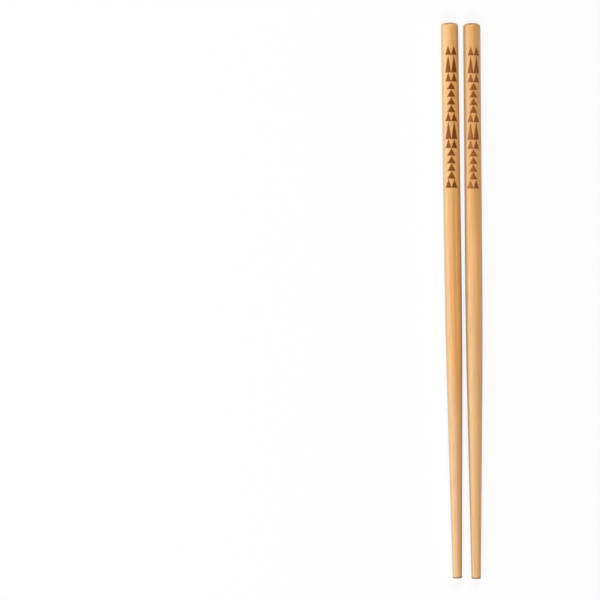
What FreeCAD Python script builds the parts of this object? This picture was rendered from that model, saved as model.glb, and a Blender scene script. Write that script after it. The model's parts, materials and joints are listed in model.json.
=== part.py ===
import FreeCAD, Part
import math
import os

import Sketcher
from FreeCAD import Placement, Rotation, Vector

# A pair of round bamboo chopsticks, lying side by side as they come to rest.
# Millimetres and degrees. The floor is z = 0, +Z is up and the handle ends point along +Y.
# The origin is the middle of the pair's footprint.
# Each stick is one turned piece: a parallel grip, a long taper and a blunt tip.
# The upper side of the grip carries rows of triangles burnt in by a laser.

SIZES = {
    # One stick
    "stick_length": 240.0,
    "grip_diameter": 7.5,
    "grip_length": 106.0,
    "taper_blend": 56.0,
    "tip_diameter": 4.1,
    "crown_radius": 10.0,
    "handle_rounding": 1.3,
    "tip_rounding": 0.4,
    # The burnt triangles
    "mark_depth": 0.06,
    "row_gap": 0.3,
    "pair_gap": 0.1,
    "pair_width": 2.4,
    "short_height": 3.6,
    "tall_height": 7.35,
    "single_width": 3.4,
    "single_height": 3.0,
    "left_first_row": 10.45,
    "right_first_row": 10.6,
    "mark_skew": 0.55,
    # How the two sticks lie
    "stick_gap": 1.45,
    "left_lean": 0.83,
    "right_lean": 0.46,
    "left_roll": 1.2,
    "right_roll": 4.2,
    "right_setback": 0.2,
}

# Rows from the handle end down: a short pair, a tall pair, a short pair and four singles, twice over
REPEAT = ["short", "tall", "short", "single", "single", "single", "single"]
ROWS = REPEAT + REPEAT + ["short"]


def write_sheet(doc):
    """The sheet of driving sizes, one alias for each"""
    sheet = doc.addObject("Spreadsheet::Sheet", "sizes")
    for row, (alias, value) in enumerate(SIZES.items(), start=1):
        sheet.set(f"A{row}", alias)
        sheet.set(f"B{row}", str(value))
        sheet.setAlias(f"B{row}", alias)
    doc.recompute()
    return sheet


def half_profile(body, sheet):
    """Half the outline of a stick: across the axis is X, along it is Y, and the grip ends at Y = 0"""
    plane = next(item for item in body.Origin.OriginFeatures if item.Role == "XY_Plane")
    sketch = body.newObject("Sketcher::SketchObject", body.Name + "_profile")
    sketch.AttachmentSupport = [(plane, "")]
    sketch.MapMode = "FlatFace"

    # Near places, which the constraints then make exact
    grip = sheet.grip_diameter / 2
    tip = sheet.tip_diameter / 2
    top = sheet.grip_length
    bottom = sheet.grip_length - sheet.stick_length
    crown = sheet.crown_radius
    handle = sheet.handle_rounding
    nose = sheet.tip_rounding
    blend = sheet.taper_blend
    slope = math.atan((grip - tip) / (-bottom - blend / 2))
    bend = blend / math.sin(slope)
    lift = math.acos((grip - handle) / (crown - handle))
    crown_middle = Vector(0, top - crown, 0)
    handle_middle = crown_middle + Vector(grip - handle, (crown - handle) * math.sin(lift), 0)
    bend_middle = Vector(grip - bend, 0, 0)
    nose_middle = Vector(tip - nose, bottom + nose, 0)
    blend_end = Vector(grip - bend * (1 - math.cos(slope)), -blend, 0)
    taper_end = Vector(tip, bottom + nose, 0)

    def arc(middle, radius, first, last):
        circle = Part.Circle(middle, Vector(0, 0, 1), radius)
        return sketch.addGeometry(Part.ArcOfCircle(circle, first, last))

    def line(first, last):
        return sketch.addGeometry(Part.LineSegment(first, last))

    crown_arc = arc(crown_middle, crown, lift, math.pi / 2)
    handle_arc = arc(handle_middle, handle, 0, lift)
    side = line(Vector(grip, handle_middle.y, 0), Vector(grip, 0, 0))
    bend_arc = arc(bend_middle, bend, -slope, 0)
    taper = line(blend_end, taper_end)
    nose_arc = arc(nose_middle, nose, -math.pi / 2, -slope)
    end = line(Vector(tip - nose, bottom, 0), Vector(0, bottom, 0))
    axis = line(Vector(0, bottom, 0), Vector(0, top, 0))

    # Point numbers in a constraint: 1 is an edge's start, 2 its end, 3 an arc's centre
    start, finish, centre = 1, 2, 3
    origin = (-1, start)
    across_axis, along_axis = -1, -2
    for constraint in (
        ("Coincident", axis, finish, crown_arc, finish),
        ("Tangent", crown_arc, start, handle_arc, finish),
        ("Tangent", handle_arc, start, side, start),
        ("Tangent", side, finish, bend_arc, finish),
        ("Tangent", bend_arc, start, taper, start),
        ("Tangent", taper, finish, nose_arc, finish),
        ("Tangent", nose_arc, start, end, start),
        ("Coincident", end, finish, axis, start),
        ("PointOnObject", axis, start, along_axis),
        ("PointOnObject", axis, finish, along_axis),
        ("PointOnObject", crown_arc, centre, along_axis),
        ("PointOnObject", side, finish, across_axis),
        ("Vertical", side),
        ("Horizontal", end),
    ):
        sketch.addConstraint(Sketcher.Constraint(*constraint))

    for name, kind, points, value, size in (
        ("crown", "Radius", (crown_arc,), crown, "crown_radius"),
        ("handle", "Radius", (handle_arc,), handle, "handle_rounding"),
        ("nose", "Radius", (nose_arc,), nose, "tip_rounding"),
        ("grip", "DistanceX", (*origin, side, finish), grip, "grip_diameter / 2"),
        ("tip", "DistanceX", (*origin, taper, finish), tip, "tip_diameter / 2"),
        ("blend", "DistanceY", (taper, start, *origin), blend, "taper_blend"),
        ("top", "DistanceY", (*origin, axis, finish), top, "grip_length"),
        ("length", "DistanceY", (axis, start, axis, finish), top - bottom, "stick_length"),
    ):
        number = sketch.addConstraint(Sketcher.Constraint(kind, *points, value))
        sketch.renameConstraint(number, name)
        sketch.setExpression(f"Constraints.{name}", f"sizes.{size}")
    return sketch


def turned_blank(doc, sheet, side):
    """The bare stick: its profile turned about the axis"""
    body = doc.addObject("PartDesign::Body", f"{side}_blank")
    sketch = half_profile(body, sheet)
    turned = body.newObject("PartDesign::Revolution", f"{side}_turned")
    turned.Profile = sketch
    turned.ReferenceAxis = (sketch, ["V_Axis"])
    turned.Angle = 360
    return body


def triangle(doc, name, width, height, across, base):
    """An upright triangular prism, its point towards the handle end. The texts are expressions."""
    prism = doc.addObject("Part::Wedge", name)
    for limit, text in (
        ("Xmin", f"-{width} / 2"),
        ("Xmax", f"{width} / 2"),
        ("X2min", "0"),
        ("X2max", "0"),
        ("Ymin", "0"),
        ("Ymax", height),
        ("Zmin", "0"),
        ("Zmax", "sizes.grip_diameter / 2 + sizes.mark_depth"),
        ("Z2min", "0"),
        ("Z2max", "sizes.grip_diameter / 2 + sizes.mark_depth"),
        ("Placement.Base.x", across),
        ("Placement.Base.y", base),
    ):
        prism.setExpression(limit, text)
    return prism


def triangle_rows(doc, sheet, side):
    """All the triangles of a stick, each row set under the one before it, along a line just off the axis"""
    prisms = []
    above = f"(sizes.grip_length - sizes.{side}_first_row + sizes.row_gap) * 1 mm"
    for number, kind in enumerate(ROWS, start=1):
        name = f"{side}_row_{number:02d}"
        height = f"sizes.{kind}_height"
        base = f"{above} - (sizes.row_gap + {height}) * 1 mm"
        if kind == "single":
            row = [triangle(doc, name, "sizes.single_width", height, "0", base)]
        else:
            middle = "(sizes.pair_width + sizes.pair_gap) / 2"
            row = [
                triangle(doc, f"{name}_left", "sizes.pair_width", height, f"-{middle}", base),
                triangle(doc, f"{name}_right", "sizes.pair_width", height, middle, base),
            ]
        prisms += row
        above = f"{row[0].Name}.Placement.Base.y"
    rows = doc.addObject("Part::Compound", f"{side}_triangles")
    rows.Links = prisms
    doc.recompute()
    middle = Vector(0, rows.Shape.BoundBox.Center.y, 0)
    rows.Placement = Placement(Vector(), Rotation(Vector(0, 0, -1), sheet.mark_skew), middle)
    return rows


def burnt_marks(doc, sheet, side):
    """What the laser takes away: the triangles, down to a core that the marks leave whole"""
    core = doc.addObject("Part::Cylinder", f"{side}_core")
    core.setExpression("Radius", "sizes.grip_diameter / 2 - sizes.mark_depth")
    core.setExpression("Height", "sizes.stick_length")
    core.Placement = Placement(Vector(), Rotation(Vector(1, 0, 0), -90))
    core.setExpression("Placement.Base.y", "sizes.grip_length - sizes.stick_length")
    marks = doc.addObject("Part::Cut", f"{side}_marks")
    marks.Base = triangle_rows(doc, sheet, side)
    marks.Tool = core
    return marks


def chopstick(doc, sheet, side):
    """One stick, its axis along Y and the end of its grip at the origin"""
    stick = doc.addObject("Part::Cut", f"{side}_chopstick")
    stick.Label = f"{side}_chopstick"
    stick.Base = turned_blank(doc, sheet, side)
    stick.Tool = burnt_marks(doc, sheet, side)
    return stick


def lay_down(doc, sheet, left, right):
    """Lays both sticks on the floor, with the gap where their grips end, and centres the pair"""
    radius = sheet.grip_diameter / 2
    apart = radius + sheet.stick_gap / 2
    for stick, roll in ((left, sheet.left_roll), (right, sheet.right_roll)):
        stick.Tool.Placement = Placement(Vector(), Rotation(Vector(0, 1, 0), roll))
    up = Vector(0, 0, 1)
    left.Placement = Placement(Vector(-apart, 0, radius), Rotation(up, sheet.left_lean))
    right.Placement = Placement(
        Vector(apart, -sheet.right_setback, radius), Rotation(up, sheet.right_lean)
    )
    doc.recompute()
    box = left.Shape.optimalBoundingBox(False)
    box.add(right.Shape.optimalBoundingBox(False))
    for stick in (left, right):
        stick.Placement.Base -= Vector(box.Center.x, box.Center.y, box.ZMin)
    doc.recompute()


def check(doc, sticks):
    """Stops if a feature failed or a stick isn't one sound solid"""
    for item in doc.Objects:
        if "Invalid" in item.State or "Error" in item.State:
            raise RuntimeError(f"{item.Label} failed: {item.State}")
    for stick in sticks:
        shape = stick.Shape
        if shape.isNull() or not shape.isValid() or len(shape.Solids) != 1:
            raise RuntimeError(f"{stick.Label} isn't one sound solid")


def main():
    doc = FreeCAD.newDocument("chopsticks")
    sheet = write_sheet(doc)
    left = chopstick(doc, sheet, "left")
    right = chopstick(doc, sheet, "right")
    doc.recompute()
    lay_down(doc, sheet, left, right)
    check(doc, (left, right))
    os.makedirs("parts", exist_ok=True)
    for stick in (left, right):
        stick.Shape.exportStep(f"parts/{stick.Label}.step")


main()
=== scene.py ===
import json
import math

import bmesh
import bpy
from mathutils import Matrix, Vector, geometry


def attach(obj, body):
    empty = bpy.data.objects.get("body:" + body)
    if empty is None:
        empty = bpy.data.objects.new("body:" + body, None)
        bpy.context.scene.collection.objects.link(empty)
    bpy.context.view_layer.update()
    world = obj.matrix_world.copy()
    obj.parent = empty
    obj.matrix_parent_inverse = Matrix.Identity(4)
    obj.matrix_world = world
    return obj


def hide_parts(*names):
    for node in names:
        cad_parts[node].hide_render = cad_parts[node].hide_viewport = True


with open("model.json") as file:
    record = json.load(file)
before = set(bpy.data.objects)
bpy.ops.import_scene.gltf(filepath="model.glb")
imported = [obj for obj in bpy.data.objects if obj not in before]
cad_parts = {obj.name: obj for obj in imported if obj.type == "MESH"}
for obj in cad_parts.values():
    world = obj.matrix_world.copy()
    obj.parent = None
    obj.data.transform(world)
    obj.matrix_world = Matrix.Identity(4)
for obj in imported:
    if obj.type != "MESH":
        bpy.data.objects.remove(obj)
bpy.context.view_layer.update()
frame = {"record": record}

# The two sticks are modelled in millimetres along their own axis and then laid where the frame has them.
# In a stick's own space Y = 0 is the flat of the tip, +Y runs to the handle end and +Z is the marked side.
MILLIMETRE = 0.001

# Turned stick
STICK_LENGTH = 240.0
GRIP_RADIUS = 3.75
GRIP_LENGTH = 106.0
TAPER_BLEND = 56.0
TIP_RADIUS = 2.05
CROWN_RADIUS = 10.0
HANDLE_ROUNDING = 1.3
TIP_ROUNDING = 0.4

# Burnt triangles
MARK_DEPTH = 0.06
ROW_GAP = 0.3
PAIR_GAP = 0.1
PAIR_WIDTH = 2.4
SHORT_HEIGHT = 3.6
TALL_HEIGHT = 7.35
SINGLE_WIDTH = 3.4
SINGLE_HEIGHT = 3.0
MARK_SKEW = math.radians(0.55)
SCORCH_REACH = 0.35
REPEAT = ["short", "tall", "short", "single", "single", "single", "single"]
ROWS = REPEAT + REPEAT + ["short"]

# Mesh steps, in millimetres along the stick and in flats round it
FLATS = 128
MARKED_STEP = 0.5
PLAIN_STEP = 2.0
ARC_STEPS = 10
MARKS_MARGIN = 1.0
MERGE_DISTANCE = 1e-4
CREASE_ANGLE = math.radians(35)

# Photograph: the middle of the pair, in pixels of the 600 by 600 frame, and one stick's length there
PICTURE_SIDE = 600
PAIR_PIXEL = (461.7, 300.66)
STICK_PIXELS = 555.7

# Camera, floor and room
CAMERA_HEIGHT = 1.6
SENSOR_WIDTH = 36.0
FARTHEST_SEEN = 100.0
FLOOR_REACH = 3.0
FLOOR_GREY = 0.86
FLOOR_GLOW = 0.84
ROOM_LIGHT = 0.04

# Each stick's first row, roll, grain and screen colours. The handle's tone grows between the two places of
# handle_start, in millimetres from the tip, and the tip's tone fades out between the two of tip_start.
STICKS = {
    "left": {
        "first_row": 10.45,
        "roll": math.radians(1.2),
        "slot": "bamboo_straw",
        "grain_start": 0.0,
        "tones": ((231, 180, 112), (219, 160, 90), (196, 133, 68)),
        "bundle": (180, 114, 54),
        "blush": (236, 164, 98),
        "streak": (210, 142, 64),
        "handle": (228, 170, 100),
        "handle_start": (150, 205),
        "tip": (217, 176, 130),
        "tip_start": (60, 100),
        # painted sheen: this paler colour stands for the light on the left flank, and the fade after it
        # thins that sheen towards the handle
        "painted_sheen": (204, 174, 120),
        "painted_sheen_fade": 0.0,
        # painted shade: this darker colour stands for the shade on the right rim
        "rim": (192, 150, 110),
        "burn": ((106, 50, 8), (146, 82, 20)),
        # painted sheen: this lighter burn stands for the light on the left part of the marks
        "burn_painted_light": (176, 122, 72),
        "burn_fade": 0.0,
    },
    "right": {
        "first_row": 10.6,
        "roll": math.radians(4.2),
        "slot": "bamboo_honey",
        "grain_start": 37.0,
        "tones": ((237, 186, 117), (226, 167, 97), (202, 138, 76)),
        "bundle": (184, 118, 60),
        "blush": (240, 172, 106),
        "streak": None,
        "handle": (207, 147, 82),
        "handle_start": (130, 180),
        "tip": (212, 169, 118),
        "tip_start": (90, 150),
        # painted sheen: this paler colour stands for the light on the left flank, and the fade after it
        # thins that sheen towards the handle
        "painted_sheen": (210, 178, 124),
        "painted_sheen_fade": 0.4,
        # painted shade: this darker colour stands for the shade on the right rim
        "rim": (188, 144, 96),
        "burn": ((128, 66, 22), (160, 92, 44)),
        # painted sheen: this lighter burn stands for the light on the left part of the marks
        "burn_painted_light": (186, 126, 70),
        "burn_fade": 0.35,
    },
}
# The first colour darkens both ends: partly real end grain, partly painted shade on the rounded ends
END_GRAIN_AND_PAINTED_SHADE = (132, 94, 52)
END_PORES = (84, 54, 26)

# How far each tone covers the one below it, where it is whole
BLUSH_SHARE = 0.6
STREAK_SHARE = 0.7
HANDLE_SHARE = 0.6
TIP_SHARE = 0.65
# Painted sheen on the left flank covers this far
PAINTED_SHEEN_SHARE = 0.75
# Painted shade on the right rim covers this far
RIM_PAINTED_SHADE_SHARE = 0.7
FIBRE_SHARE = 0.55
BUNDLE_SHARE = 0.55
# The darker ends, partly painted shade, cover this far
END_GRAIN_AND_PAINTED_SHADE_SHARE = 0.8
END_PORES_SHARE = 0.7
SCORCH_SHARE = 0.75
LASER_LINE_SHARE = 0.25
# Painted sheen on the left part of the marks covers this far
BURN_PAINTED_LIGHT_SHARE = 0.3

# Surface: how much oil lies on the side, how far the grain wanders in millimetres, and the relief of the
# bundles and the laser's lines beside that of the fibres
OIL_COAT = 0.7
GRAIN_WANDER = 3.0
BUNDLE_RELIEF = 0.5
LASER_LINE_RELIEF = 0.3

# Where tones set in: places across and along the stick in millimetres, and round it from -1 to 1
STREAK_LEFT_EDGE = (-0.5, 0.3)
STREAK_RIGHT_EDGE = (0.7, 1.5)
STREAK_NARROWS = (60, 120)
STREAK_RUNS_OUT = (200, 225)
# The left flank's painted sheen fades out between these places round the stick
PAINTED_SHEEN_EDGE = (-0.85, -0.25)
# The right rim's painted shade sets in between these places round the stick
RIM_PAINTED_SHADE_EDGE = (0.5, 0.85)
# The darker ends, partly painted shade, reach between the places of these two
TIP_CUT = (0.3, 0.95)
HANDLE_CUT = (STICK_LENGTH - 1.0, STICK_LENGTH - 0.3)
# The painted sheen on the marks fades out between these places across the stick
BURN_PAINTED_LIGHT_EDGE = (-2.4, 0.9)


def mount(name):
    """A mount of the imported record"""
    return next(item for item in frame["record"]["mounts"] if item["name"] == name)


def stick_place(side):
    """From a stick's own millimetres to the frame: laid along its grip's axis, from its tip's flat"""
    tip = Vector(mount(f"{side}_tip")["pos_m"])
    along = Vector(mount(f"{side}_grip")["axis"])
    lean = math.atan2(-along.x, along.y)
    turn = Matrix.Rotation(lean, 4, "Z") @ Matrix.Rotation(STICKS[side]["roll"], 4, "Y")
    return Matrix.Translation(tip) @ turn @ Matrix.Scale(MILLIMETRE, 4)


# Stick outline


def taper_slope():
    """The angle between the taper and the axis"""
    reach = STICK_LENGTH - GRIP_LENGTH
    return math.atan((GRIP_RADIUS - TIP_RADIUS) / (reach - TAPER_BLEND / 2))


def blend_radius(past_grip):
    """The radius in the blend from grip to taper, a single arc tangent to both"""
    bend = TAPER_BLEND / math.sin(taper_slope())
    return GRIP_RADIUS - bend + math.sqrt(bend ** 2 - past_grip ** 2)


def side_radius(along):
    """The stick's radius at a place along it, its two ends left out"""
    past_grip = STICK_LENGTH - GRIP_LENGTH - along
    if past_grip <= 0:
        return GRIP_RADIUS
    if past_grip <= TAPER_BLEND:
        return blend_radius(past_grip)
    blend_end = blend_radius(TAPER_BLEND)
    share = (past_grip - TAPER_BLEND) / (STICK_LENGTH - GRIP_LENGTH - TAPER_BLEND - TIP_ROUNDING)
    return blend_end + (TIP_RADIUS - blend_end) * min(share, 1)


def stretch(first, last, step):
    """Places from first to last, about a step apart"""
    count = max(1, round((last - first) / step))
    return [first + (last - first) * number / count for number in range(count + 1)]


def outline():
    """The turned outline as (radius, place along), from the tip's middle to the handle's middle"""
    tip_middle = TIP_RADIUS - TIP_ROUNDING
    points = [(0.0, 0.0), (tip_middle / 2, 0.0)]
    for turn in stretch(-math.pi / 2, 0, math.pi / 2 / ARC_STEPS):
        points.append((tip_middle + TIP_ROUNDING * math.cos(turn), TIP_ROUNDING * (1 + math.sin(turn))))

    inner = CROWN_RADIUS - HANDLE_ROUNDING
    lift = math.acos((GRIP_RADIUS - HANDLE_ROUNDING) / inner)
    crown_middle = STICK_LENGTH - CROWN_RADIUS
    handle_middle = crown_middle + inner * math.sin(lift)
    marks_end = STICK_LENGTH - min(stick["first_row"] for stick in STICKS.values())
    marks_start = marks_end - marks_length() - MARKS_MARGIN
    places = (
        stretch(TIP_ROUNDING, marks_start, PLAIN_STEP)[1:]
        + stretch(marks_start, marks_end, MARKED_STEP)[1:]
        + stretch(marks_end, handle_middle, PLAIN_STEP)[1:-1]
    )
    points += [(side_radius(place), place) for place in places]
    for turn in stretch(0, lift, lift / ARC_STEPS):
        across = GRIP_RADIUS - HANDLE_ROUNDING + HANDLE_ROUNDING * math.cos(turn)
        points.append((across, handle_middle + HANDLE_ROUNDING * math.sin(turn)))
    for turn in stretch(lift, math.pi / 2, (math.pi / 2 - lift) / ARC_STEPS)[1:-1]:
        points.append((CROWN_RADIUS * math.cos(turn), crown_middle + CROWN_RADIUS * math.sin(turn)))
    return points + [(0.0, STICK_LENGTH)]


def turned_stick():
    """The bare stick: its outline spun round the axis"""
    stick = bmesh.new()
    corners = [stick.verts.new((across, along, 0)) for across, along in outline()]
    edges = [stick.edges.new(pair) for pair in zip(corners, corners[1:])]
    bmesh.ops.spin(
        stick,
        geom=corners + edges,
        cent=(0, 0, 0),
        axis=(0, 1, 0),
        angle=2 * math.pi,
        steps=FLATS,
        use_merge=True,
    )
    bmesh.ops.remove_doubles(stick, verts=stick.verts, dist=MERGE_DISTANCE)
    bmesh.ops.recalc_face_normals(stick, faces=stick.faces)
    return stick


# Burnt triangles


def mark_sizes(kind):
    """Width, height and the middles of the triangles in a row of this kind"""
    if kind == "single":
        return SINGLE_WIDTH, SINGLE_HEIGHT, (0.0,)
    offset = (PAIR_WIDTH + PAIR_GAP) / 2
    return PAIR_WIDTH, TALL_HEIGHT if kind == "tall" else SHORT_HEIGHT, (-offset, offset)


def marks_length():
    """From the first row's point to the last row's base"""
    return sum(mark_sizes(kind)[1] for kind in ROWS) + ROW_GAP * (len(ROWS) - 1)


def triangles(first_row):
    """Each triangle's point and its left and right base corners, seen from above"""
    base = STICK_LENGTH - first_row + ROW_GAP
    pivot = Vector((0, STICK_LENGTH - first_row - marks_length() / 2))
    turn = Matrix.Rotation(-MARK_SKEW, 2)
    for kind in ROWS:
        width, height, middles = mark_sizes(kind)
        base -= ROW_GAP + height
        for middle in middles:
            corners = (
                Vector((middle, base + height)),
                Vector((middle - width / 2, base)),
                Vector((middle + width / 2, base)),
            )
            yield tuple(pivot + turn @ (corner - pivot) for corner in corners)


def faces_near(stick, corners):
    """The faces of the marked side round a triangle"""
    margin = 2 * MARKED_STEP
    low_x, high_x = corners[1].x - margin, corners[2].x + margin
    low_y, high_y = corners[1].y - margin, corners[0].y + margin
    near = []
    for face in stick.faces:
        middle = face.calc_center_median()
        if middle.z > 0 and low_x < middle.x < high_x and low_y < middle.y < high_y:
            near.append(face)
    return near


def score(stick, corners):
    """Cuts a triangle's edges straight down into the marked side and returns the faces inside"""
    inside = faces_near(stick, corners)
    for start, end in zip(corners, corners[1:] + corners[:1]):
        inward = Vector((start.y - end.y, end.x - start.x, 0))
        foot = Vector((start.x, start.y, 0))
        edges = {edge for face in inside for edge in face.edges}
        points = {point for face in inside for point in face.verts}
        cut = bmesh.ops.bisect_plane(
            stick,
            geom=inside + list(edges) + list(points),
            dist=MERGE_DISTANCE,
            plane_co=foot,
            plane_no=inward,
        )
        faces = [item for item in cut["geom"] if isinstance(item, bmesh.types.BMFace)]
        inside = [face for face in faces if (face.calc_center_median() - foot).dot(inward) > 0]
    return inside


def set_radius(point, radius):
    """Moves a point straight out from the axis, or in, to a radius"""
    across = math.hypot(point.co.x, point.co.z)
    point.co.x *= radius / across
    point.co.z *= radius / across


def burn_in(stick, faces, scorch):
    """Sinks the faces of one triangle by the depth of the burn"""
    rim = {point for face in faces for point in face.verts}
    for point in rim:
        set_radius(point, GRIP_RADIUS)
    sunk = bmesh.ops.extrude_face_region(stick, geom=faces)["geom"]
    floor_points = [item for item in sunk if isinstance(item, bmesh.types.BMVert)]
    floor_faces = [item for item in sunk if isinstance(item, bmesh.types.BMFace)]
    bmesh.ops.delete(stick, geom=[face for face in faces if face.is_valid], context="FACES_ONLY")
    for point in floor_points:
        set_radius(point, GRIP_RADIUS - MARK_DEPTH)
        point[scorch] = 1.0
    burnt = set(floor_faces)
    for face in floor_faces:
        for edge in face.edges:
            burnt.update(edge.link_faces)
    for face in burnt:
        face.material_index = 1


def distance_to(point, corners):
    """How far a point seen from above lies outside a triangle"""
    if geometry.intersect_point_tri_2d(point, *corners):
        return 0.0
    nearest = []
    for start, end in zip(corners, corners[1:] + corners[:1]):
        foot, share = geometry.intersect_point_line(point, start, end)
        share = min(max(share, 0), 1)
        nearest.append((point - (start + (end - start) * share).to_2d()).length)
    return min(nearest)


def beside(place, first, last):
    """Whether a place along the stick is by the marks from the first to the last"""
    return last[1].y - MARKS_MARGIN < place < first[0].y + MARKS_MARGIN


def scorch_round(stick, marks, scorch):
    """Writes on the marked side how near each point lies to a burn"""
    for point in stick.verts:
        if point.co.z < 0 or not beside(point.co.y, marks[0], marks[-1]):
            continue
        seen = Vector((point.co.x, point.co.y))
        near = [mark for mark in marks if beside(seen.y, mark, mark)]
        gap = min((distance_to(seen, mark) for mark in near), default=SCORCH_REACH)
        point[scorch] = max(point[scorch], max(0.0, 1 - gap / SCORCH_REACH) ** 2)


# Finished piece


def finished_mesh(name, shape, place, materials):
    """An object at the origin with the shape laid in place in its mesh"""
    bmesh.ops.transform(shape, matrix=place, verts=shape.verts)
    for face in shape.faces:
        face.smooth = True
    mesh = bpy.data.meshes.new(name)
    shape.to_mesh(mesh)
    shape.free()
    mesh.set_sharp_from_angle(angle=CREASE_ANGLE)
    for material in materials:
        mesh.materials.append(material)
    piece = bpy.data.objects.new(name, mesh)
    bpy.context.collection.objects.link(piece)
    return piece


# Shader building blocks


def linear(rgb):
    """A screen colour, 0 to 255, as the shader's linear colour"""
    parts = [part / 255 for part in rgb]
    return (*[part / 12.92 if part <= 0.04045 else ((part + 0.055) / 1.055) ** 2.4 for part in parts], 1)


def new_material(name):
    """A material with nodes, its tree and its shader"""
    material = bpy.data.materials.new(name)
    material.use_nodes = True
    tree = material.node_tree
    return material, tree, tree.nodes["Principled BSDF"]


def node(tree, kind, **values):
    """A node with its properties set"""
    made = tree.nodes.new(kind)
    for key, value in values.items():
        setattr(made, key, value)
    return made


def math_node(tree, operation, first, second):
    """A sum, product or the like of two sockets or numbers"""
    made = node(tree, "ShaderNodeMath", operation=operation)
    for socket, value in zip(made.inputs, (first, second)):
        if isinstance(value, bpy.types.NodeSocket):
            tree.links.new(value, socket)
        else:
            socket.default_value = value
    return made.outputs[0]


def product(tree, first, second):
    """One value times another"""
    return math_node(tree, "MULTIPLY", first, second)


def inverse(tree, value):
    """What is left of 1"""
    return math_node(tree, "SUBTRACT", 1.0, value)


def mixed(tree, share, first, second):
    """Two colours mixed by a share; each is a socket or a screen colour"""
    made = node(tree, "ShaderNodeMix", data_type="RGBA")
    tree.links.new(share, made.inputs["Factor"])
    colour_inputs = [socket for socket in made.inputs if socket.type == "RGBA"]
    for socket, value in zip(colour_inputs, (first, second)):
        if isinstance(value, bpy.types.NodeSocket):
            tree.links.new(value, socket)
        else:
            socket.default_value = linear(value)
    return next(socket for socket in made.outputs if socket.type == "RGBA")


def covered(tree, tone, where, share, colour):
    """A tone covered by a colour as far as a share, where a value from 0 to 1 says"""
    return mixed(tree, product(tree, where, share), tone, colour)


def ramp(tree, value, low, high):
    """The value spread so that low becomes 0 and high becomes 1"""
    made = node(tree, "ShaderNodeMapRange", interpolation_type="SMOOTHSTEP")
    tree.links.new(value, made.inputs["Value"])
    made.inputs["From Min"].default_value = low
    made.inputs["From Max"].default_value = high
    return made.outputs["Result"]


def noise(tree, space, scale, detail, roughness=0.5):
    """A noise value in a space, its scale in bumps per millimetre"""
    made = node(tree, "ShaderNodeTexNoise")
    made.inputs["Scale"].default_value = scale
    made.inputs["Detail"].default_value = detail
    made.inputs["Roughness"].default_value = roughness
    tree.links.new(space, made.inputs["Vector"])
    return made.outputs["Fac"]


def fibrous_surface(tree, shader, fibres, height, least_rough, fibre_rough, strength, depth):
    """Roughness that grows with the fibres, and a fine relief, its depth in millimetres"""
    rough = math_node(tree, "ADD", product(tree, fibres, fibre_rough), least_rough)
    tree.links.new(rough, shader.inputs["Roughness"])
    relief = node(tree, "ShaderNodeBump")
    relief.inputs["Strength"].default_value = strength
    relief.inputs["Distance"].default_value = depth * MILLIMETRE
    tree.links.new(height, relief.inputs["Height"])
    tree.links.new(relief.outputs["Normal"], shader.inputs["Normal"])


# Places in the wood


def stick_space(tree, place):
    """Object coordinates turned into the stick's own millimetres"""
    where, turn, size = place.inverted().decompose()
    coordinates = node(tree, "ShaderNodeTexCoord")
    own = node(tree, "ShaderNodeMapping")
    own.inputs["Location"].default_value = where
    own.inputs["Rotation"].default_value = turn.to_euler()
    own.inputs["Scale"].default_value = size
    tree.links.new(coordinates.outputs["Object"], own.inputs["Vector"])
    return own.outputs["Vector"]


def across_and_along(tree, own):
    """How far right of the stick's middle line, and how far from its tip"""
    parts = node(tree, "ShaderNodeSeparateXYZ")
    tree.links.new(own, parts.inputs["Vector"])
    return parts.outputs["X"], parts.outputs["Y"]


def turned_side(tree, own, across):
    """Where a place lies round the stick, from -1 for its left side to 1 for its right side"""
    from_axis = node(tree, "ShaderNodeVectorMath", operation="MULTIPLY")
    tree.links.new(own, from_axis.inputs[0])
    from_axis.inputs[1].default_value = (1, 0, 1)
    reach = node(tree, "ShaderNodeVectorMath", operation="LENGTH")
    tree.links.new(from_axis.outputs["Vector"], reach.inputs[0])
    return math_node(tree, "DIVIDE", across, reach.outputs["Value"])


def cut_ends(tree, along):
    """1 on the two ends and their roundings, where the cut fibres drink more oil and where painted shade
    darkens the rounded ends, and 0 along the side
    """
    tip = inverse(tree, ramp(tree, along, *TIP_CUT))
    return math_node(tree, "ADD", tip, ramp(tree, along, *HANDLE_CUT))


def grain_space(tree, own, grain_start):
    """The stick's own space moved to its own stretch of grain, with a slow sideways drift in it"""
    start = node(tree, "ShaderNodeMapping")
    start.inputs["Location"].default_value = (grain_start, 0, grain_start)
    tree.links.new(own, start.inputs["Vector"])
    drift = node(tree, "ShaderNodeTexNoise")
    drift.inputs["Scale"].default_value = 0.02
    drift.inputs["Detail"].default_value = 1
    tree.links.new(start.outputs["Vector"], drift.inputs["Vector"])
    spread = node(tree, "ShaderNodeVectorMath", operation="MULTIPLY_ADD")
    tree.links.new(drift.outputs["Color"], spread.inputs[0])
    spread.inputs[1].default_value = (GRAIN_WANDER, 0, GRAIN_WANDER)
    tree.links.new(start.outputs["Vector"], spread.inputs[2])
    return spread.outputs["Vector"]


def drawn_out(tree, space, along_share):
    """The space drawn out along the stick, so that a pattern in it runs in fibres"""
    made = node(tree, "ShaderNodeMapping")
    made.inputs["Scale"].default_value = (1, along_share, 1)
    tree.links.new(space, made.inputs["Vector"])
    return made.outputs["Vector"]


# Figure of the bamboo, each part as a value from 0 to 1


def fine_fibres(tree, space):
    """Fibres a fifth of a millimetre wide and about a centimetre long"""
    return noise(tree, drawn_out(tree, space, along_share=0.02), scale=5, detail=4, roughness=0.65)


def broad_bands(tree, space):
    """Bands about a millimetre wide, where the wood is paler or deeper"""
    return noise(tree, drawn_out(tree, space, along_share=0.012), scale=0.9, detail=2)


def warm_patches(tree, space):
    """Soft patches where the wood blushes"""
    patches = noise(tree, drawn_out(tree, space, along_share=0.1), scale=0.35, detail=1)
    return ramp(tree, patches, low=0.42, high=0.7)


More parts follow.
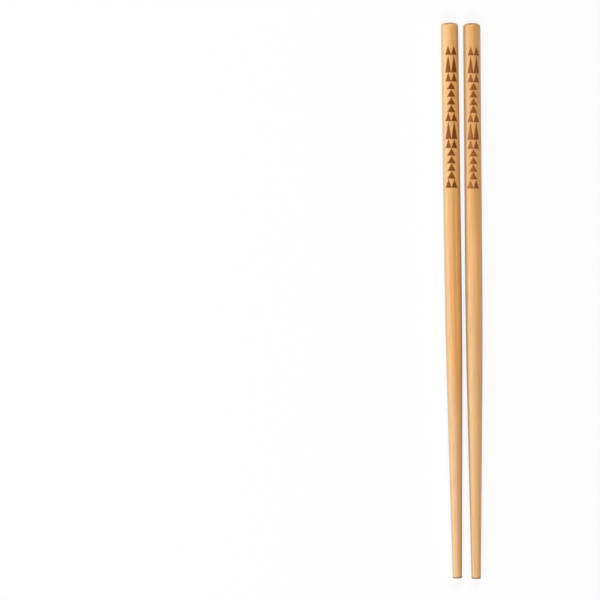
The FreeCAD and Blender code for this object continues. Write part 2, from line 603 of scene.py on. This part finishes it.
def vascular_bundles(tree, space):
    """The dark bundles of vessels that run along the stick"""
    cells = node(tree, "ShaderNodeTexVoronoi", feature="F1")
    cells.inputs["Scale"].default_value = 1.7
    tree.links.new(drawn_out(tree, space, along_share=0.006), cells.inputs["Vector"])
    return inverse(tree, ramp(tree, cells.outputs["Distance"], low=0.08, high=0.34))


def laser_lines(tree, space):
    """The fine lines across a mark, where the laser went to and fro"""
    lines = node(tree, "ShaderNodeTexWave", wave_type="BANDS", bands_direction="Y", wave_profile="SIN")
    lines.inputs["Scale"].default_value = 2.4
    lines.inputs["Distortion"].default_value = 0.4
    tree.links.new(space, lines.inputs["Vector"])
    return lines.outputs["Fac"]


def right_stripe(tree, across, along):
    """A deeper stripe right of the middle, which widens to the stick's right side towards the tip"""
    right_end = product(tree, ramp(tree, across, *STREAK_RIGHT_EDGE), ramp(tree, along, *STREAK_NARROWS))
    stripe = product(tree, ramp(tree, across, *STREAK_LEFT_EDGE), inverse(tree, right_end))
    return product(tree, stripe, inverse(tree, ramp(tree, along, *STREAK_RUNS_OUT)))


def shaded_parts(tree, stick, own):
    """Where the colour differs, as (where, share, colour): a stripe and the two ends, where the wood
    differs, and both flanks, where a painted sheen lightens the left and painted shade darkens the right
    """
    across, along = across_and_along(tree, own)
    side = turned_side(tree, own, across)
    handle = ramp(tree, along, *stick["handle_start"])
    tip = inverse(tree, ramp(tree, along, *stick["tip_start"]))
    # painted sheen on the left flank, thinned towards the handle
    painted_sheen = inverse(tree, ramp(tree, side, *PAINTED_SHEEN_EDGE))
    painted_sheen = product(tree, painted_sheen, inverse(tree, product(tree, handle, stick["painted_sheen_fade"])))
    if stick["streak"]:
        yield right_stripe(tree, across, along), STREAK_SHARE, stick["streak"]
    yield handle, HANDLE_SHARE, stick["handle"]
    yield tip, TIP_SHARE, stick["tip"]
    yield painted_sheen, PAINTED_SHEEN_SHARE, stick["painted_sheen"]
    # painted shade on the right rim
    yield ramp(tree, side, *RIM_PAINTED_SHADE_EDGE), RIM_PAINTED_SHADE_SHARE, stick["rim"]


def sanded_tone(tree, stick, own, space, fibres, bundles):
    """The colour of the sanded wood along the side, with a painted sheen on its left flank and painted
    shade on its right rim
    """
    bands = broad_bands(tree, space)
    pale, middle, dark = stick["tones"]
    tone = mixed(tree, ramp(tree, bands, low=0.34, high=0.66), pale, middle)
    tone = covered(tree, tone, warm_patches(tree, space), BLUSH_SHARE, stick["blush"])
    for where, share, colour in shaded_parts(tree, stick, own):
        tone = covered(tree, tone, where, share, colour)
    tone = covered(tree, tone, ramp(tree, fibres, low=0.45, high=0.8), FIBRE_SHARE, dark)
    seen_bundles = product(tree, bundles, ramp(tree, bands, low=0.3, high=0.7))
    return covered(tree, tone, seen_bundles, BUNDLE_SHARE, stick["bundle"])


def bamboo(name, stick, place):
    """Sanded bamboo with a thin oiled sheen, and a scorched edge where the attribute says"""
    material, tree, shader = new_material(name)
    own = stick_space(tree, place)
    along = across_and_along(tree, own)[1]
    space = grain_space(tree, own, stick["grain_start"])
    fibres = fine_fibres(tree, space)
    bundles = vascular_bundles(tree, space)
    cut = cut_ends(tree, along)
    scorch = node(tree, "ShaderNodeAttribute", attribute_name="scorch").outputs["Fac"]
    blotches = product(tree, scorch, ramp(tree, fibres, low=0.2, high=0.6))
    tone = sanded_tone(tree, stick, own, space, fibres, bundles)
    # darker ends: real end grain, and painted shade on the rounded ends
    tone = covered(tree, tone, cut, END_GRAIN_AND_PAINTED_SHADE_SHARE, END_GRAIN_AND_PAINTED_SHADE)
    tone = covered(tree, tone, product(tree, cut, bundles), END_PORES_SHARE, END_PORES)
    tone = covered(tree, tone, blotches, SCORCH_SHARE, stick["burn"][1])
    tree.links.new(tone, shader.inputs["Base Color"])

    height = math_node(tree, "SUBTRACT", fibres, product(tree, bundles, BUNDLE_RELIEF))
    fibrous_surface(
        tree, shader, fibres, height, least_rough=0.38, fibre_rough=0.18, strength=0.35, depth=0.04
    )
    shader.inputs["Specular IOR Level"].default_value = 0.5
    tree.links.new(product(tree, inverse(tree, cut), OIL_COAT), shader.inputs["Coat Weight"])
    shader.inputs["Coat Roughness"].default_value = 0.3
    return material


def burnt_bamboo(name, stick, place):
    """The floor and walls of a mark: charred brown, with a painted sheen that makes it paler to the left,
    and paler there still in the last rows
    """
    material, tree, shader = new_material(name)
    own = stick_space(tree, place)
    across, along = across_and_along(tree, own)
    space = grain_space(tree, own, stick["grain_start"])
    fibres = fine_fibres(tree, space)
    lines = laser_lines(tree, space)
    char, toast = stick["burn"]
    tone = mixed(tree, ramp(tree, fibres, low=0.3, high=0.75), char, toast)
    tone = covered(tree, tone, lines, LASER_LINE_SHARE, char)
    marks_end = STICK_LENGTH - stick["first_row"]
    last_rows = inverse(tree, ramp(tree, along, marks_end - marks_length(), marks_end))
    paler = math_node(tree, "ADD", product(tree, last_rows, stick["burn_fade"]), BURN_PAINTED_LIGHT_SHARE)
    # painted sheen: the left part of the marks made paler
    painted_light_left = inverse(tree, ramp(tree, across, *BURN_PAINTED_LIGHT_EDGE))
    tone = covered(tree, tone, painted_light_left, paler, stick["burn_painted_light"])
    tree.links.new(tone, shader.inputs["Base Color"])

    height = math_node(tree, "ADD", fibres, product(tree, lines, LASER_LINE_RELIEF))
    fibrous_surface(
        tree, shader, fibres, height, least_rough=0.62, fibre_rough=0.2, strength=0.6, depth=0.05
    )
    shader.inputs["Specular IOR Level"].default_value = 0.1
    return material


# The pair


def chopstick(side):
    """One finished stick in place of its solid"""
    stick = STICKS[side]
    place = stick_place(side)
    shape = turned_stick()
    scorch = shape.verts.layers.float.new("scorch")
    marks = list(triangles(stick["first_row"]))
    for corners in marks:
        burn_in(shape, score(shape, corners), scorch)
    scorch_round(shape, marks, scorch)
    bmesh.ops.dissolve_degenerate(shape, dist=MERGE_DISTANCE, edges=shape.edges)
    wood = bamboo(f"{side}_bamboo", stick, place)
    burnt = burnt_bamboo(f"{side}_burnt_bamboo", stick, place)
    piece = finished_mesh(f"{side}_stick", shape, place, (wood, burnt))
    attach(piece, "root")
    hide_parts(f"{side}_chopstick")


# Floor, light and camera


def floor():
    """A plain white floor that keeps a soft shadow"""
    shape = bmesh.new()
    bmesh.ops.create_grid(shape, x_segments=1, y_segments=1, size=FLOOR_REACH)
    material, tree, shader = new_material("white_floor")
    shader.inputs["Base Color"].default_value = (FLOOR_GREY, FLOOR_GREY, FLOOR_GREY, 1)
    shader.inputs["Roughness"].default_value = 0.8
    shader.inputs["Specular IOR Level"].default_value = 0.1
    glow = node(tree, "ShaderNodeEmission")
    rays = node(tree, "ShaderNodeLightPath")
    looked_at = math_node(tree, "MAXIMUM", rays.outputs["Is Camera Ray"], rays.outputs["Is Glossy Ray"])
    looked_at = math_node(tree, "MAXIMUM", looked_at, rays.outputs["Is Transmission Ray"])
    mix = node(tree, "ShaderNodeMixShader")
    tree.links.new(product(tree, looked_at, FLOOR_GLOW), mix.inputs["Fac"])
    tree.links.new(shader.outputs["BSDF"], mix.inputs[1])
    tree.links.new(glow.outputs["Emission"], mix.inputs[2])
    tree.links.new(mix.outputs["Shader"], tree.nodes["Material Output"].inputs["Surface"])
    piece = finished_mesh("floor", shape, Matrix.Identity(4), (material,))


def softbox(name, place, width, height, watts):
    """A lamp that faces the pair"""
    lamp = bpy.data.lights.new(name, "AREA")
    lamp.shape = "RECTANGLE"
    lamp.size = width
    lamp.size_y = height
    lamp.energy = watts
    lamp_object = bpy.data.objects.new(name, lamp)
    lamp_object.location = place
    lamp_object.rotation_euler = (-Vector(place)).to_track_quat("-Z", "Y").to_euler()
    bpy.context.collection.objects.link(lamp_object)


def white_surroundings():
    """Faint even light from all round, white where the camera sees it"""
    world = bpy.data.worlds.new("white_room")
    world.use_nodes = True
    tree = world.node_tree
    background = tree.nodes["Background"]
    background.inputs["Color"].default_value = (1, 1, 1, 1)
    rays = node(tree, "ShaderNodeLightPath")
    strength = math_node(tree, "MAXIMUM", rays.outputs["Is Camera Ray"], ROOM_LIGHT)
    tree.links.new(strength, background.inputs["Strength"])
    bpy.context.scene.world = world


def camera():
    """Straight above the photograph's middle, so that the pair lands on its own pixels"""
    pixel = STICK_LENGTH / STICK_PIXELS * MILLIMETRE
    middle = PICTURE_SIDE / 2
    view = bpy.data.cameras.new("camera")
    view.sensor_width = SENSOR_WIDTH
    view.lens = SENSOR_WIDTH * (CAMERA_HEIGHT - GRIP_RADIUS * MILLIMETRE) / (PICTURE_SIDE * pixel)
    view.clip_end = FARTHEST_SEEN
    view_object = bpy.data.objects.new("camera", view)
    view_object.location = (
        (middle - PAIR_PIXEL[0]) * pixel,
        (PAIR_PIXEL[1] - middle) * pixel,
        CAMERA_HEIGHT,
    )
    bpy.context.collection.objects.link(view_object)
    bpy.context.scene.camera = view_object


camera()
floor()
white_surroundings()
softbox("low_left_softbox", place=(-1.05, 0.0, 0.3), width=0.9, height=0.5, watts=5.6)
softbox("high_left_softbox", place=(-0.7, 0.0, 0.95), width=0.9, height=0.7, watts=2.4)
softbox("far_softbox", place=(0.0, 1.1, 1.3), width=1.0, height=1.0, watts=17.4)
softbox("near_softbox", place=(0.0, -1.1, 1.3), width=1.0, height=1.0, watts=17.4)
for side in STICKS:
    chopstick(side)

scene = bpy.context.scene
scene.view_settings.view_transform = "Standard"
